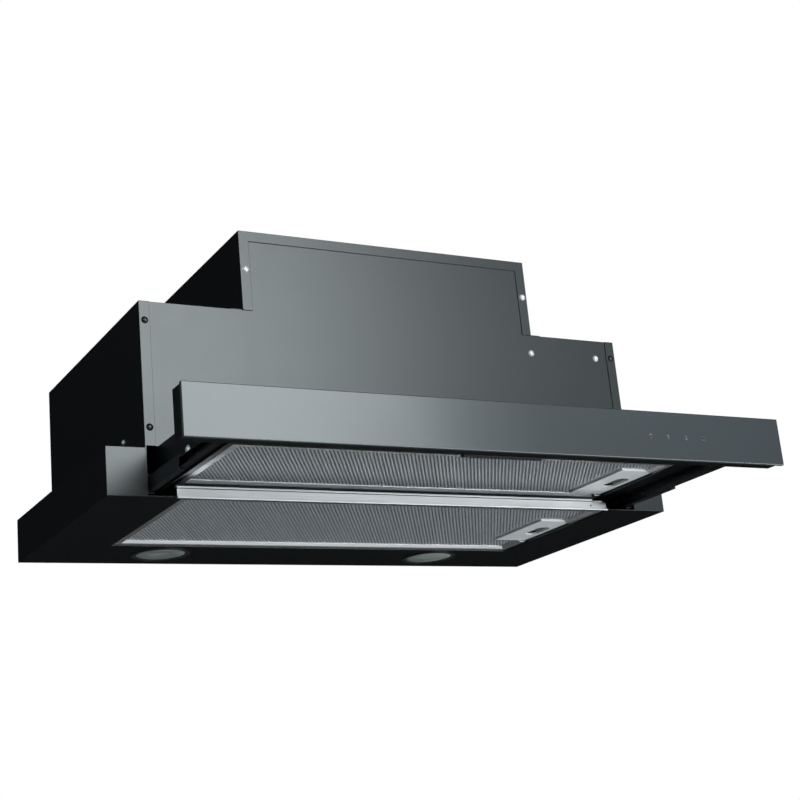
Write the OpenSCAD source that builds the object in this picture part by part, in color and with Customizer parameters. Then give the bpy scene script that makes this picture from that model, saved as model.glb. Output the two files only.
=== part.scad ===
// Pull-out range hood for a wall cabinet, drawn with its drawer pulled out.
// Modules are drawn with X across the hood from its centre line, Y rearwards from the front of the
// base and Z up from the underside of the base. place() then moves the origin to the centre of the
// cabinet screw pattern on top of the wings.

/* [Overall] */
// Width over the wings of the base
hood_w = 598; // [580:1:640]
// Depth of the base and the body
hood_d = 285; // [280:1:310]
// Thickness of the sheet metal
sheet = 1; // [0.8:0.1:1.2]

/* [Base] */
// Height of the base
base_h = 44; // [43:0.5:50]
// Width of each wing beside the drawer bay
wing_w = 36.5; // [32:0.5:38]
// Distance between the cabinet screw holes, front to back
hole_pitch = 200; // [160:5:220]
// Distance of the cabinet screw holes from the side of the hood
hole_inset = 18.5; // [14:0.5:22]
// Diameter of the cabinet screw holes
hole_d = 4.5; // [3.5:0.1:6]
// Distance of each lamp from the middle between the two
lamp_x = 158; // [100:0.5:185]
// Distance of that middle to the left of the centre line
lamp_shift = 6.5; // [0:0.5:8]
// Diameter of the lamp body
lamp_d = 56.8; // [50:0.1:58]

/* [Body] */
// Height of the body's top above the underside
body_top = 182; // [175:1:195]
// Height of the front panel's lower edge above the base
panel_lift = 2; // [1.5:0.5:6]
// Width of the folded flanges
flange_w = 10; // [9:0.5:12]
// Width of the motor housing on top
crown_w = 320; // [300:1:340]
// Height of the motor housing's top above the underside
crown_top = 262; // [255:1:275]

/* [Blower] */
// Radius of the impeller
impeller_r = 75; // [70:1:78]
// Half of the impeller's width
impeller_half = 49; // [40:1:52]
// Number of impeller blades
blade_count = 36; // [24:1:44]
// Outside diameter of the duct collar
duct_d = 120; // [100:1:122]
// Height of the duct collar
duct_h = 32; // [25:1:34]
// Radius of the motor
motor_r = 42; // [36:1:46]

/* [Drawer] */
// Travel of the drawer
travel = 161; // [140:1:163]
// Height of the glass front panel
glass_h = 44.8; // [43:0.1:48]
// Thickness of the glass
glass_t = 4; // [3:0.5:5]
// Depth of the backing frame behind the glass
backing_d = 17.3; // [14:0.1:20]
// Length of the slide members
slide_len = 190; // [180:1:192]
// Height of the slides
slide_h = 17; // [15:0.5:17]

/* [Filters] */
// Width of the border between each filter and the side of the body
filter_side = 35; // [33:0.5:48]
// Depth of the strip between the filter in the base and the lamps
lamp_border = 10.1; // [8:0.1:20]
// Depth of the drawer's floor in front of its filter
front_border = 48; // [44:0.5:60]
// Width of the latch plate
latch_w = 37.5; // [34:0.5:40]
// Length of the latch plate
latch_l = 90; // [80:1:96]

/* [Hidden] */
$fn = 64;

// Clearances and the overrun of cuts
gap = 0.3;
fit = 0.1;
running = 0.05;
over = 2;

// Colours
black = [0.06, 0.065, 0.07];
jet = [0.03, 0.032, 0.035];
zinc = [0.82, 0.84, 0.86];
alloy = [0.66, 0.69, 0.7];
bright = [0.8, 0.83, 0.84];
grey = [0.69, 0.71, 0.71];
board = [0.1, 0.33, 0.2];
frosted = [0.62, 0.7, 0.67];

// Edges of the base, body and motor housing
half_w = hood_w / 2;
body_x = half_w - wing_w;
bay_x = body_x - sheet;
body_bottom = base_h + panel_lift;
crown_x = crown_w / 2;
crown_foot_w = 12;
seat_y = hood_d / 2;
cross_y = 50;
cross_d = 13;
cross_h = 12;
cross_lift = 12;
crown_screw_down = 39;
low_screw_up = 17;
high_screw_down = 18.4;

// Filter openings and the rim that stands up round each
rim_gap = 1.5;
rim_h = 5.3;
filter_w = 2 * (body_x - filter_side);
open_x = filter_w / 2 + rim_gap;
open_y = 6;
base_filter_y = open_y + rim_gap;

// Lamps
lamp_back = 48;
lamp_y = hood_d - lamp_back;
base_filter_d = lamp_y - lamp_d / 2 - lamp_border - base_filter_y;
lamp_h = 14;
bezel_w = 1.6;
bezel_t = 0.8;
lamp_wall = 1.6;
lamp_rim = 2.8;
lens_r = lamp_d / 2 - lamp_rim;
lens_t = 2.2;
lens_drop = 0.6;
lens_face_share = 0.9;
lamp_board_z = 7;
board_t = 1.6;
chip = 3;

// Screws: head radius, head height, shank radius and shank length
screw_head = 3.4;
screw_head_h = 2.2;
screw_r = 1.9;
screw_len = 7;
small_head = 2.8;
small_head_h = 1.6;
small_r = 1.4;
small_len = 5;
screw_inset = 5;
side_screw_z = [body_bottom + low_screw_up, body_top - high_screw_down];
crown_screw_z = crown_top - crown_screw_down;

// Trim strip along the front of the base
strip_t = 1.2;
lip_t = 2;
lip_drop = 1;
lip_h = 1.6;
strip_face_h = 7.6;
groove_h = 0.8;
strip_top = 10;
strip_cover_d = 4;
strip_left_in = 27;
strip_right_in = 36;
strip_left = strip_left_in - body_x;
cap_len = 17.5;
cap_t = 1.4;
strip_right = body_x - strip_right_in - cap_len;
cap_hole_r = 1;
cap_hole_in = 2.3;
cap_hole_z = 3.6;

// Duct collar and its damper
collar_y = 150;
collar_wall = 1.5;
collar_flange = 15;
collar_flange_t = 1.6;
collar_screw_out = 10;
duct_r = duct_d / 2;
duct_in = duct_r - collar_wall;
flap_lift = 9;
flap_z = crown_top + flap_lift;
flap_t = 1;
flap_gap = 3.6;
ledge_w = 2.4;
ledge_t = 1.6;
ledge_z = flap_z - flap_t / 2 - gap;
pin_r = 1.5;
pin_half = duct_in + collar_wall / 2;
knuckle_r = 3;
knuckle_len = 8;
front_knuckle_x = 13;
rear_knuckle_x = 36;

// Blower scroll, wheel and motor
fan_y = 110;
fan_z = 150;
tongue_deg = 65;
tongue_clear = 7;
scroll_growth = 15;
tongue_r = impeller_r + tongue_clear;
outlet_r = tongue_r + scroll_growth;
outlet_d = 114;
spiral_steps = 40;
wheel_clear = 9;
blower_half = impeller_half + wheel_clear;
blade_len = 15;
blade_in = impeller_r - blade_len;
blade_t = 1;
blade_lean = 28;
inlet_clear = 2;
inlet_r = blade_in + inlet_clear;
bell_wall = 3;
bell_len = 6;
ring_t = 1;
hub_r = 12;
hub_len = 12;
shaft_r = 4;
nut_r = 7;
nut_t = 6;
thread_out = 3;
motor_gap = 3;
motor_x = ring_t + motor_gap;
motor_len = 56;
motor_step = 4;
boss_r = 9;
bracket_t = 3;
bracket_rim = 3;
bracket_depth = 6;
arm_w = 12;
arm_r = impeller_r - 1;
arm_screw_r = impeller_r - 6;
arm_turns = [90, 210, 330];
capacitor_r = 14;
capacitor_len = 45;
capacitor_y = 170;
capacitor_drop = 26;

// Electrics in the body
box_side = 15.5;
box_x1 = body_x - box_side;
box_w = 97;
box_x0 = box_x1 - box_w;
box_h = 81;
box_drop = 4;
box_top = body_top - sheet - box_drop;
box_z0 = box_top - box_h;
box_d = 48;
box_wall = 1.5;
box_screw_in = 8.4;
box_screw_drop = 14.4;
box_screw_x = [box_x0 + box_screw_in, box_x1 - box_screw_in];
box_screw_z = box_top - box_screw_drop;
standoff = 5;
relay = 14;
relay_pitch = 19;
board_drop = 23;
block_w = 32;
block_d = 18;
block_h = 14;
block_gap = 9;
driver_y = 90;
driver_len = 86;
driver_w = 24;
driver_h = 32;
driver_z = 60;
cord_share = 0.5366;
cord_back = 37;
cord_x = crown_x + cord_share * (body_x - crown_x);
cord_y = hood_d - cord_back;
cord_bore_r = 3.75;
grommet_r = 9.5;
grommet_neck = 7;
grommet_lip = 3;

// Slides beside the drawer
slide_t = 1;
ball_gap = 0.9;
slide_z = 12;
slide_room = 10;
drawer_x = bay_x - slide_room;
wall_clear = 3;
slide_tip = drawer_x + wall_clear;
outer_y = 4;
slide_back = 35;
middle_len = 180;
middle_y = (slide_back + outer_y - middle_len) / 2;
middle_h = slide_h - 2 * slide_t - 2 * ball_gap;
inner_h = middle_h - 2 * slide_t - 2 * ball_gap;
rivet_back = [23, 66, 133];

// Drawer
closed_gap = 2;
drawer_y = -travel - closed_gap;
drawer_back = 58;
drawer_low = 4.8;
lid_rise = 1;
drawer_lid = base_h + lid_rise;
drawer_floor = 17;
filter_back = 21;
strap_w = 6;
strap_t = 0.8;
drawer_screw_in = 91;
drawer_screw_y = drawer_y + drawer_screw_in;
drawer_screw_z = 22.1;
wall_head = 5;
wall_head_h = 2;
wall_screw_r = 2.4;
clip_x = [-15, 68];
clip_gap = 12;
drawer_filter_y = drawer_y + front_border;
drawer_filter_d = filter_back - drawer_filter_y;
clip_y = drawer_filter_y - clip_gap;
clip_d = 6;
clip_h = 3.5;

// Glass front panel
glass_low = 0.8;
glass_over = 1;
backing_low = 3;
backing_wall = 2;
backing_top = glass_low + glass_h - glass_over;
backing_y = drawer_y - backing_d;
touch_side = 152;
touch_x0 = half_w - touch_side;
touch_pitch = 20;
touch_count = 4;
touch_z = 22.3;
touch_margin = 14;
touch_h = 26;

// Filter frame: flat border, bevel up to the mesh and folded channel
frame_t = 0.8;
frame_h = 10;
border_w = 6;
bevel_w = 2.5;
bevel_h = 2.6;
rail_w = border_w + bevel_w;
mesh_in = 2;
mesh_t = 0.6;
mesh_z = bevel_h + frame_t;
core_t = frame_h - frame_t - mesh_z - mesh_t;
tongue_w = 30;
tongue_out = 6;
tongue_t = 1;
tongue_y_shares = [0.25, 0.75];
base_latch_share = 0.5366;
drawer_latch_share = 0.5809;
base_latch_y = base_filter_y + base_latch_share * base_filter_d - latch_l / 2;
drawer_latch_y = drawer_filter_y + drawer_latch_share * drawer_filter_d - latch_l / 2;

// Filter latch: fixed plate with a thumb slot and a sprung slider behind it
plate_z = 1.6;
plate_t = 1.6;
plate_wall = 1.2;
thumb_w = 15;
thumb_l = 34;
thumb_in = 17;
slider_t = 1.4;
slider_z = rim_h + gap;
slider_x = 8;
slider_l = 52;
leg_t = 1.5;
grip_t = 2.5;
grip_l = 20;
grip_inset = 0.8;
bolt_w = 24;
bolt_out = 4.2;
spring_r = 1.5;
spring_wire = 0.3;
spring_turns = 4;
spring_steps = 12;

// Moves the drawn frame's origin to the centre of the cabinet screw pattern
module place() {
  translate([0, -seat_y, -base_h]) children();
}

// Block between two values on each axis
module block(x, y, z) {
  translate([x[0], y[0], z[0]]) cube([x[1] - x[0], y[1] - y[0], z[1] - z[0]]);
}

// The shape and its mirror image across the centre line
module both() {
  children();
  mirror([1, 0, 0]) children();
}

// Rod along Y between two values
module rod_y(x, z, y, r) {
  translate([x, y[0], z]) rotate([-90, 0, 0]) cylinder(h = y[1] - y[0], r = r);
}

// Rod along X between two values
module rod_x(x, y, z, r) {
  translate([x[0], y, z]) rotate([0, 90, 0]) cylinder(h = x[1] - x[0], r = r);
}

// Stands a profile drawn in Y and Z up along X
module along_x(x) {
  translate([x[0], 0, 0]) rotate([90, 0, 90]) linear_extrude(height = x[1] - x[0]) children();
}

// Shallow dome of radius r and height h on the plane Z = 0
module dome(r, h) {
  ball_r = (r * r + h * h) / (2 * h);
  intersection() {
    translate([0, 0, h - ball_r]) sphere(r = ball_r);
    cylinder(h = h, r = r);
  }
}

// Pan-head screw with a cross recess, seated on the plane Z = 0
module screw(head, head_h, shank, len) {
  difference() {
    union() {
      dome(head, head_h);
      translate([0, 0, -len]) cylinder(h = len, r = shank);
    }
    for (turn = [0, 90]) rotate([0, 0, turn]) translate([0, 0, head_h])
      cube([head, head / 4, head_h], center = true);
  }
}

// Screws through the front, with their heads on the plane y
module front_screws(places, y) {
  for (p = places) translate([p[0], y, p[1]]) rotate([90, 0, 0])
    screw(screw_head, screw_head_h, screw_r, screw_len);
}

// Places of the screws that hold the front panel
function side_places() = [for (s = [-1, 1], z = side_screw_z) [s * (body_x - screw_inset), z]];
function crown_places() = [for (s = [-1, 1]) [s * (crown_x - screw_inset), crown_screw_z]];
function box_places() = [for (x = box_screw_x) [x, box_screw_z]];

// Holes for a list of screws through the sheets between two values of Y
module screw_holes(places, y) {
  for (p = places) rod_y(p[0], p[1], y, screw_r + fit);
}

// Upright rim round a filter opening, standing on the plane z
module opening_rim(y, d, z) difference() {
  block([-open_x - sheet, open_x + sheet], [y - rim_gap - sheet, y + d + rim_gap + sheet],
    [z - sheet, z + rim_h]);
  filter_opening(y, d, z);
}

// Opening for a filter that begins at y and is d deep
module filter_opening(y, d, z) {
  block([-open_x, open_x], [y - rim_gap, y + d + rim_gap], [z - sheet - over, z + rim_h + over]);
}

// Folded base with its wings, filter opening, lamp holes and cabinet screw holes
module base_tray() color(black) place() difference() {
  union() {
    block([-half_w, half_w], [0, hood_d], [0, sheet]);
    block([-half_w, half_w], [hood_d - sheet, hood_d], [0, base_h]);
    block([strip_left, strip_right + cap_len], [0, sheet], [0, strip_face_h]);
    both() {
      block([half_w - sheet, half_w], [0, hood_d], [0, base_h]);
      block([body_x, half_w], [0, hood_d], [base_h - sheet, base_h]);
      block([body_x, half_w], [0, sheet], [0, base_h]);
    }
    opening_rim(base_filter_y, base_filter_d, sheet);
  }
  filter_opening(base_filter_y, base_filter_d, sheet);
  lamp_places() translate([0, 0, -over]) cylinder(h = sheet + 2 * over, r = lamp_d / 2 + fit);
  both() {
    for (s = [-1, 1]) translate([half_w - hole_inset, seat_y + s * hole_pitch / 2, base_h - sheet - over])
      cylinder(h = sheet + 2 * over, r = hole_d / 2);
  }
}

// Trim strip with a lip below, a groove and a cover over the fold of the base
module trim_strip() color(bright) place() difference() {
  along_x([strip_left, strip_right]) polygon([
    [0, -lip_drop], [-lip_t, -lip_drop], [-lip_t, lip_h - lip_drop], [-strip_t, lip_h - lip_drop],
    [-strip_t, strip_face_h], [-strip_t / 2, strip_face_h], [-strip_t / 2, strip_face_h + groove_h],
    [-strip_t, strip_face_h + groove_h], [-strip_t, strip_top], [strip_cover_d, strip_top],
    [strip_cover_d, strip_face_h], [0, strip_face_h]
  ]);
  rod_y(strip_right - cap_hole_in, cap_hole_z, [-over, over], cap_hole_r);
}

// End cap with a rounded outer end
module trim_end_cap() color(bright) place() {
  cap_h = strip_top + lip_drop;
  translate([strip_right, 0, -lip_drop]) rotate([90, 0, 0]) linear_extrude(height = cap_t) {
    square([cap_len - cap_h / 2, cap_h]);
    translate([cap_len - cap_h / 2, cap_h / 2]) circle(d = cap_h);
  }
}

// Side sheet of the body, which also walls the drawer bay, drawn for the right side
module body_side() difference() {
  union() {
    block([bay_x, body_x], [0, hood_d - sheet], [sheet, body_top]);
    block([body_x - flange_w, body_x], [0, sheet], [body_bottom, body_top]);
  }
  screw_holes(side_places(), [-over, sheet + over]);
  rod_x([bay_x - over, body_x + over], cross_y + cross_d / 2, body_bottom + cross_lift + cross_h / 2,
    small_r + fit);
}

module body_side_left() color(black) place() mirror([1, 0, 0]) body_side();

module body_side_right() color(black) place() body_side();

// One sheet shaped like a T upside down, behind the flanges
module front_panel() color(black) place() difference() {
  union() {
    block([fit - bay_x, bay_x - fit], [sheet, 2 * sheet], [body_bottom, body_top]);
    block([sheet + fit - crown_x, crown_x - sheet - fit], [sheet, 2 * sheet],
      [body_bottom, crown_top - sheet - fit]);
    block([flange_w - body_x, body_x - flange_w], [sheet, flange_w], [body_bottom, body_bottom + sheet]);
  }
  screw_holes(side_places(), [0, 2 * sheet + over]);
  screw_holes(crown_places(), [0, 2 * sheet + over]);
  screw_holes(box_places(), [0, 2 * sheet + over]);
}

module back_panel() color(black) place() {
  block([-bay_x, bay_x], [hood_d - sheet, hood_d], [base_h, body_top]);
}

// Plate under the motor housing, open for the blower and bored for the cord
module body_top_plate() color(black) place() difference() {
  block([-bay_x, bay_x], [2 * sheet, hood_d - sheet], [body_top - sheet, body_top]);
  block([crown_foot_w - crown_x, crown_x - crown_foot_w], [crown_foot_w, hood_d - crown_foot_w],
    [body_top - sheet - over, body_top + over]);
  translate([cord_x, cord_y, body_top - sheet - over]) cylinder(h = sheet + 2 * over, r = grommet_neck);
}

// Folded bar that ties the sides together above the drawer
module cross_member() color(black) place() {
  z = body_bottom + cross_lift;
  difference() {
    block([-bay_x, bay_x], [cross_y, cross_y + cross_d], [z, z + cross_h]);
    block([sheet - bay_x, bay_x - sheet], [cross_y + sheet, cross_y + cross_d + over],
      [z + sheet, z + cross_h - sheet]);
    both() rod_x([0, body_x], cross_y + cross_d / 2, z + cross_h / 2, small_r + fit);
  }
}

// Motor housing with front flanges and feet on the body
module motor_cover() color(black) place() difference() {
  union() {
    block([-crown_x, crown_x], [0, hood_d], [crown_top - sheet, crown_top]);
    block([-crown_x, crown_x], [hood_d - sheet, hood_d], [body_top, crown_top]);
    block([-crown_x, crown_x], [0, sheet], [crown_top - flange_w, crown_top]);
    both() {
      block([crown_x - sheet, crown_x], [0, hood_d], [body_top, crown_top]);
      block([crown_x - flange_w, crown_x], [0, sheet], [body_top, crown_top]);
      block([crown_x - sheet, crown_x + crown_foot_w], [2 * sheet, hood_d - sheet],
        [body_top, body_top + sheet]);
    }
  }
  screw_holes(crown_places(), [-over, sheet + over]);
  translate([0, collar_y, crown_top - sheet - over]) cylinder(h = sheet + 2 * over, r = duct_in);
  collar_places() cylinder(h = 2 * over, r = small_r + fit, center = true);
}

// Places of the collar's screws on top of the motor housing
module collar_places() {
  for (turn = [0:90:270]) translate([0, collar_y, crown_top]) rotate([0, 0, turn])
    translate([duct_r + collar_screw_out, 0, 0]) children();
}

// Round duct collar with the ledge that the damper flaps close on
module duct_collar() color(jet) place() translate([0, collar_y, 0]) difference() {
  union() {
    translate([0, 0, crown_top]) cylinder(h = collar_flange_t, r = duct_r + collar_flange);
    translate([0, 0, crown_top]) cylinder(h = duct_h, r = duct_r);
  }
  translate([0, 0, ledge_z]) cylinder(h = duct_h, r = duct_in);
  translate([0, 0, crown_top - over]) cylinder(h = duct_h, r = duct_in - ledge_w);
  translate([0, 0, crown_top - over]) cylinder(h = ledge_z - ledge_t - crown_top + over, r = duct_in);
  rod_x([-pin_half, pin_half], 0, flap_z, pin_r);
  translate([0, -collar_y, 0]) collar_places() cylinder(h = 2 * collar_flange_t + over, r = small_r + fit,
    center = true);
}

module damper_pin() color(zinc) place() rod_x([-pin_half, pin_half], collar_y, flap_z, pin_r);

// Half-round flap hung on the pin by two knuckles, drawn towards the rear
module damper_flap(knuckle_x) translate([0, 0, flap_z]) difference() {
  union() {
    intersection() {
      translate([0, 0, -flap_t / 2]) cylinder(h = flap_t, r = duct_in - gap);
      block([-duct_in, duct_in], [flap_gap, duct_in], [-flap_t, flap_t]);
    }
    both() {
      rod_x([knuckle_x, knuckle_x + knuckle_len], 0, 0, knuckle_r);
      block([knuckle_x, knuckle_x + knuckle_len], [0, flap_gap + flap_t], [-flap_t / 2, flap_t / 2]);
    }
  }
  rod_x([-duct_in, duct_in], 0, 0, pin_r + running);
}

module damper_flap_front() color(jet) place() translate([0, collar_y, 0]) mirror([0, 1, 0])
  damper_flap(front_knuckle_x);

module damper_flap_rear() color(jet) place() translate([0, collar_y, 0]) damper_flap(rear_knuckle_x);

// Outline of the blower scroll in Y and Z, inside its wall where inset is more than zero
function scroll_r(deg) = tongue_r + scroll_growth * (deg - tongue_deg) / (360 - tongue_deg);
function scroll_point(deg, r) = [fan_y + r * cos(deg), fan_z + r * sin(deg)];
function scroll_outline(inset, rise) = concat(
  [
    for (i = [0:spiral_steps])
      let (deg = tongue_deg + (360 - tongue_deg) * i / spiral_steps)
        scroll_point(deg, scroll_r(deg) - inset)
  ],
  [
    [fan_y + outlet_r - inset, crown_top - sheet + rise],
    [fan_y + outlet_r - outlet_d + inset, crown_top - sheet + rise]
  ]
);

// Wrap of the scroll, open at the top into the duct collar
module blower_wrap() color(alloy) place() difference() {
  along_x([sheet - blower_half, blower_half - sheet]) polygon(scroll_outline(0, 0));
  along_x([-blower_half, blower_half]) polygon(scroll_outline(sheet, over));
}

// Side of the scroll with its inlet bell, drawn for the right side
module blower_side() difference() {
  union() {
    along_x([blower_half - sheet, blower_half]) polygon(scroll_outline(0, 0));
    rod_x([blower_half - sheet - bell_len, blower_half], fan_y, fan_z, inlet_r + bell_wall);
  }
  rod_x([0, blower_half + over], fan_y, fan_z, inlet_r);
}

module blower_side_left() color(alloy) place() mirror([1, 0, 0]) blower_side();

// Turns its children to each arm of the motor bracket
module arm_places() {
  for (turn = arm_turns) translate([0, fan_y, fan_z]) rotate([turn, 0, 0]) children();
}

module blower_side_right() color(alloy) place() difference() {
  blower_side();
  arm_places() rod_x([0, blower_half + over], arm_screw_r, 0, small_r + fit);
}

// Double-inlet wheel with leaning blades, a centre disc and a hub
module impeller() color(grey) place() translate([0, fan_y, fan_z]) difference() {
  union() {
    rod_x([-ring_t, ring_t], 0, 0, impeller_r);
    rod_x([-hub_len, 0], 0, 0, hub_r);
    both() difference() {
      rod_x([impeller_half - ring_t, impeller_half], 0, 0, impeller_r);
      rod_x([0, impeller_half + over], 0, 0, blade_in);
    }
    for (i = [0:blade_count - 1]) rotate([360 * i / blade_count, 0, 0])
      translate([0, impeller_r - blade_len / 2, 0]) rotate([blade_lean, 0, 0])
        cube([2 * impeller_half - ring_t, blade_len - ring_t, blade_t], center = true);
  }
  rod_x([-hub_len - over, over], 0, 0, shaft_r);
}

module motor_shaft() color(zinc) place() {
  rod_x([-hub_len - nut_t - thread_out, motor_x + motor_len - motor_step], fan_y, fan_z, shaft_r);
}

module impeller_nut() color(zinc) place() translate([0, fan_y, fan_z]) difference() {
  translate([-hub_len - nut_t, 0, 0]) rotate([0, 90, 0]) cylinder(h = nut_t, r = nut_r, $fn = 6);
  rod_x([-hub_len - nut_t - over, 0], 0, 0, shaft_r);
}

// Round motor with stepped end caps, bored for its shaft
module motor() color(zinc) place() translate([motor_x, fan_y, fan_z]) difference() {
  union() {
    rod_x([motor_step, motor_len], 0, 0, motor_r);
    rod_x([0, motor_len], 0, 0, motor_r - motor_step);
    rod_x([0, motor_len + motor_step], 0, 0, boss_r);
  }
  rod_x([-over, motor_len], 0, 0, shaft_r + running);
}

// Three-armed bracket round the motor
module motor_bracket() color(zinc) place() difference() {
  union() {
    rod_x([blower_half - bracket_depth, blower_half + bracket_t], fan_y, fan_z, motor_r + bracket_rim);
    arm_places() block([blower_half, blower_half + bracket_t], [motor_r, arm_r], [-arm_w / 2, arm_w / 2]);
  }
  rod_x([0, blower_half + bracket_t + over], fan_y, fan_z, motor_r);
  arm_places() rod_x([0, blower_half + bracket_t + over], arm_screw_r, 0, small_r + fit);
}

module bracket_screws() color(zinc) place() arm_places()
  translate([blower_half + bracket_t, arm_screw_r, 0]) rotate([0, 90, 0])
    screw(small_head, small_head_h, small_r, small_len);

module run_capacitor() color(grey) place()
  rod_x([-blower_half - capacitor_len, -blower_half], capacitor_y, crown_top - capacitor_drop, capacitor_r);

// Box behind the front panel that holds the control board, open to the rear
module control_box() color(jet) place() difference() {
  block([box_x0, box_x1], [2 * sheet, 2 * sheet + box_d], [box_z0, box_top]);
  block([box_x0 + box_wall, box_x1 - box_wall], [2 * sheet + box_wall, 2 * sheet + box_d + over],
    [box_z0 + box_wall, box_top - box_wall]);
  screw_holes(box_places(), [0, 2 * sheet + box_wall + over]);
}

module control_box_lid() color(jet) place()
  block([box_x0, box_x1], [2 * sheet + box_d, 2 * sheet + box_d + box_wall], [box_z0, box_top]);

// Control board on standoffs with its relays
module control_board() color(board) place() {
  y = 2 * sheet + box_wall;
  low = box_z0 + 2 * box_wall;
  high = box_top - board_drop;
  block([box_x0 + 2 * box_wall, box_x1 - 2 * box_wall], [y + standoff, y + standoff + board_t],
    [low, high]);
  for (x = [box_x0 + relay, box_x1 - relay], z = [low + standoff, high - standoff])
    rod_y(x, z, [y, y + standoff], standoff / 2);
  for (i = [1:3]) translate([box_x0 + i * relay_pitch, y + standoff + board_t, low + standoff])
    cube([relay, relay, relay]);
}

// Terminal block under the top plate, with its three screw holes
module terminal_block() color(grey) place()
  translate([cord_x - block_w / 2, cord_y - grommet_r - block_gap - block_d, body_top - sheet - block_h])
    difference() {
      cube([block_w, block_d, block_h]);
      for (i = [1:3]) translate([i * block_w / 4, block_d / 2, 0])
        cylinder(h = block_h, r = small_r, center = true);
    }

module lamp_driver() color(grey) place()
  block([bay_x - driver_w, bay_x], [driver_y, driver_y + driver_len], [driver_z, driver_z + driver_h]);

// Rubber grommet for the mains cord
module cord_grommet() color(jet) place() translate([cord_x, cord_y, body_top]) difference() {
  union() {
    translate([0, 0, -sheet]) cylinder(h = sheet, r = grommet_neck);
    cylinder(h = grommet_lip, r = grommet_r);
    translate([0, 0, -sheet - grommet_lip]) cylinder(h = grommet_lip, r = grommet_r);
  }
  translate([0, 0, -sheet - grommet_lip - over])
    cylinder(h = sheet + 2 * grommet_lip + 2 * over, r = cord_bore_r);
}

// Places of the two lamps on the base's underside
module lamp_places() {
  for (s = [-1, 1]) translate([s * lamp_x - lamp_shift, lamp_y, 0]) children();
}

// Cups of the two lamps with a bezel under the base
module lamp_housings() color(jet) place() lamp_places() difference() {
  union() {
    cylinder(h = lamp_h, r = lamp_d / 2);
    translate([0, 0, -bezel_t]) cylinder(h = bezel_t, r = lamp_d / 2 + bezel_w);
  }
  translate([0, 0, -over]) cylinder(h = lamp_h - lamp_wall + over, r = lens_r);
}

// Frosted lenses with a bevelled face below
module lamp_lenses() color(frosted) place() lamp_places() {
  cylinder(h = lens_t, r = lens_r - fit);
  translate([0, 0, -lens_drop]) cylinder(h = lens_drop, r1 = lens_face_share * lens_r, r2 = lens_r - fit);
}

// Lamp boards with six chips each
module lamp_boards() color(zinc) place() lamp_places() translate([0, 0, lamp_board_z]) {
  cylinder(h = lamp_h - lamp_wall - lamp_board_z, r = lens_r - fit);
  for (turn = [0:60:300]) rotate([0, 0, turn]) translate([lens_r / 2, 0, -board_t / 4])
    cube([chip, chip, board_t / 2], center = true);
}

// Channel along Y whose web is at one value of X and whose flanges reach the other
module channel(web_x, tip_x, height, y) {
  inner_x = web_x + sign(tip_x - web_x) * slide_t;
  past_x = tip_x + sign(tip_x - web_x) * over;
  difference() {
    block([min(web_x, tip_x), max(web_x, tip_x)], y, [slide_z - height / 2, slide_z + height / 2]);
    block([min(inner_x, past_x), max(inner_x, past_x)], [y[0] - over, y[1] + over],
      [slide_z - height / 2 + slide_t, slide_z + height / 2 - slide_t]);
  }
}

module slide_outer_members() color(jet) place() both()
  channel(bay_x, slide_tip, slide_h, [outer_y, outer_y + slide_len]);

module slide_middle_members() color(zinc) place() both()
  channel(bay_x - slide_t - gap, slide_tip, middle_h, [middle_y, middle_y + middle_len]);

module slide_inner_members() color(jet) place() both() difference() {
  channel(drawer_x, bay_x - 2 * slide_t - 2 * gap, inner_h, [slide_back - slide_len, slide_back]);
  rivet_places() rod_x([-over, slide_t + over], 0, 0, small_r);
}

// Places on the drawer wall of the rivets that hold the inner slide members
module rivet_places() {
  for (back = rivet_back) translate([drawer_x, slide_back - back, slide_z]) children();
}

// Rivets with a head on each side
module slide_rivets() color(zinc) place() both() rivet_places() {
  rod_x([-sheet - strap_t, slide_t], 0, 0, small_r);
  translate([slide_t, 0, 0]) rotate([0, 90, 0]) dome(small_head, small_head_h);
  translate([-sheet - strap_t, 0, 0]) rotate([0, -90, 0]) dome(small_head, small_head_h);
}

// Sheet-metal drawer with a lid, a floor round its filter and a strap inside each wall
module drawer_frame() color(black) place() difference() {
  union() {
    block([-drawer_x, drawer_x], [drawer_y, drawer_back], [drawer_lid - sheet, drawer_lid]);
    block([-drawer_x, drawer_x], [drawer_y, drawer_back], [drawer_floor - sheet, drawer_floor]);
    opening_rim(drawer_filter_y, drawer_filter_d, drawer_floor);
    both() {
      block([drawer_x - sheet, drawer_x], [drawer_y, drawer_back], [drawer_low, drawer_lid]);
      block([drawer_x - sheet - strap_t, drawer_x - sheet],
        [slide_back - slide_len, slide_back - strap_w / 2],
        [slide_z - strap_w / 2, slide_z + strap_w / 2]);
      rod_x([drawer_x - sheet - strap_t, drawer_x - sheet], slide_back - strap_w / 2, slide_z, strap_w / 2);
    }
  }
  filter_opening(drawer_filter_y, drawer_filter_d, drawer_floor);
  both() {
    rivet_places() rod_x([-sheet - strap_t - over, over], 0, 0, small_r);
    rod_x([drawer_x - sheet - over, drawer_x + over], drawer_screw_y, drawer_screw_z, wall_screw_r + fit);
  }
}

// Short bar under the drawer's floor, in front of its filter
module filter_clip() color(jet) place()
  block(clip_x, [clip_y, clip_y + clip_d], [drawer_floor - sheet - clip_h, drawer_floor - sheet]);

// Shallow tray behind the glass
module panel_backing() color(jet) place() {
  back_x = half_w - glass_over;
  difference() {
    block([-back_x, back_x], [backing_y, drawer_y], [backing_low, backing_top]);
    block([backing_wall - back_x, back_x - backing_wall], [backing_y + backing_wall, drawer_y + over],
      [backing_low + backing_wall, backing_top - backing_wall]);
  }
}

// Plate that closes the back of the tray
module panel_cover() color(black) place() {
  cover_x = half_w - glass_over - backing_wall - fit;
  block([-cover_x, cover_x], [drawer_y - sheet, drawer_y],
    [backing_low + backing_wall + fit, backing_top - backing_wall - fit]);
}

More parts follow.
